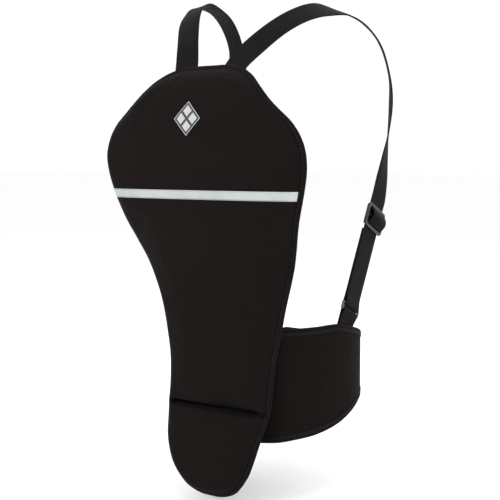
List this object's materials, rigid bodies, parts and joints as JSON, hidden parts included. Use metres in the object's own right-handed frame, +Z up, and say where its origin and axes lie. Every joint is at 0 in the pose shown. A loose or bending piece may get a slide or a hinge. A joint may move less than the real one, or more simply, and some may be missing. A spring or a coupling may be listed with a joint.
{
  "type": "back protector",
  "caption": "Padded spine panel with a hinged tail, a reflective stripe, two adjustable elastic shoulder straps and an elastic lumbar belt that closes at the front.",
  "frame": {"origin": "on the lining, on the spine line, at the height of the waist", "axes": "+Z up along the spine, +Y from the panel towards the wearer, +X towards the wearer's right; the outside of the panel faces -Y"},
  "size_m": [0.3064, 0.3062, 0.6295],
  "materials": {
    "knit_black": "fine matt knit",
    "spacer_mesh": "open spacer mesh",
    "binding_black": "ribbed tape",
    "webbing_black": "woven elastic",
    "reflective_grey": "retroreflective tape",
    "emblem_light": "plain woven patch",
    "impact_foam": "closed-cell foam",
    "comfort_foam": "open-cell foam",
    "stiffener": "thin sheet",
    "hardware": "fine satin",
    "hook_pile": "hook and pile"
  },
  "bodies": {
    "back_panel": {"front_cover": "knit_black", "back_lining": "spacer_mesh", "edge_binding": "binding_black", "reflective_stripe": "reflective_grey", "emblem_patch": "emblem_light", "impact_core": "impact_foam", "stiffener_plate": "stiffener", "comfort_foam": "comfort_foam", "strap_anchor_patches": "binding_black", "flex_strip": "binding_black", "shoulder_strap_right": "webbing_black", "shoulder_strap_left": "webbing_black", "strap_tab_right": "webbing_black", "strap_tab_left": "webbing_black", "belt_back_panel": "knit_black", "belt_side_right": "knit_black", "belt_side_left": "knit_black", "belt_hem_side_right": "binding_black", "belt_hem_side_left": "binding_black"},
    "tail": {"tail_cover": "knit_black", "tail_lining": "spacer_mesh", "tail_binding": "binding_black", "tail_core": "impact_foam", "tail_plate": "stiffener"},
    "belt_right_end": {"belt_front_right": "knit_black", "belt_hem_front_right": "binding_black", "hook_patch": "hook_pile"},
    "belt_left_end": {"belt_front_left": "knit_black", "belt_hem_front_left": "binding_black", "loop_patch": "hook_pile"},
    "strap_right": {"belt_loop_right": "hardware", "lower_strap_right": "webbing_black"},
    "strap_left": {"belt_loop_left": "hardware", "lower_strap_left": "webbing_black"},
    "slider_right": {"adjuster_right": "hardware", "slider_webbing_right": "webbing_black"},
    "slider_left": {"adjuster_left": "hardware", "slider_webbing_left": "webbing_black"}
  },
  "joints": [
    {"name": "tail_flex", "type": "hinge", "parent": "back_panel", "child": "tail", "pos_m": [0, -0.007, -0.072], "axis": [-1, 0, 0], "range_deg": [-8, 25], "stiffness_Nm_per_rad": 0.8},
    {"name": "belt_right_open", "type": "hinge", "parent": "back_panel", "child": "belt_right_end", "pos_m": [0.1263, 0.1218, -0.03], "axis": [0, 0, -1], "range_deg": [0, 70]},
    {"name": "belt_left_open", "type": "hinge", "parent": "back_panel", "child": "belt_left_end", "pos_m": [-0.1263, 0.1218, -0.03], "axis": [0, 0, 1], "range_deg": [0, 24.5]},
    {"name": "strap_right_pivot", "type": "hinge", "parent": "back_panel", "child": "strap_right", "pos_m": [0.1175, 0.117, 0.043], "axis": [0, 0.891, -0.454], "range_deg": [-10, 10]},
    {"name": "adjuster_right_slide", "type": "slide", "parent": "strap_right", "child": "slider_right", "axis": [0, 0.454, 0.891], "range_m": [-0.07, 0]},
    {"name": "strap_left_pivot", "type": "hinge", "parent": "back_panel", "child": "strap_left", "pos_m": [-0.1175, 0.117, 0.043], "axis": [0, 0.891, -0.454], "range_deg": [-10, 10]},
    {"name": "adjuster_left_slide", "type": "slide", "parent": "strap_left", "child": "slider_left", "axis": [0, 0.454, 0.891], "range_m": [-0.07, 0]}
  ],
  "couplings": [
    {"joint": "belt_left_open", "follows": "belt_right_open", "ratio": 0.35}
  ]
}
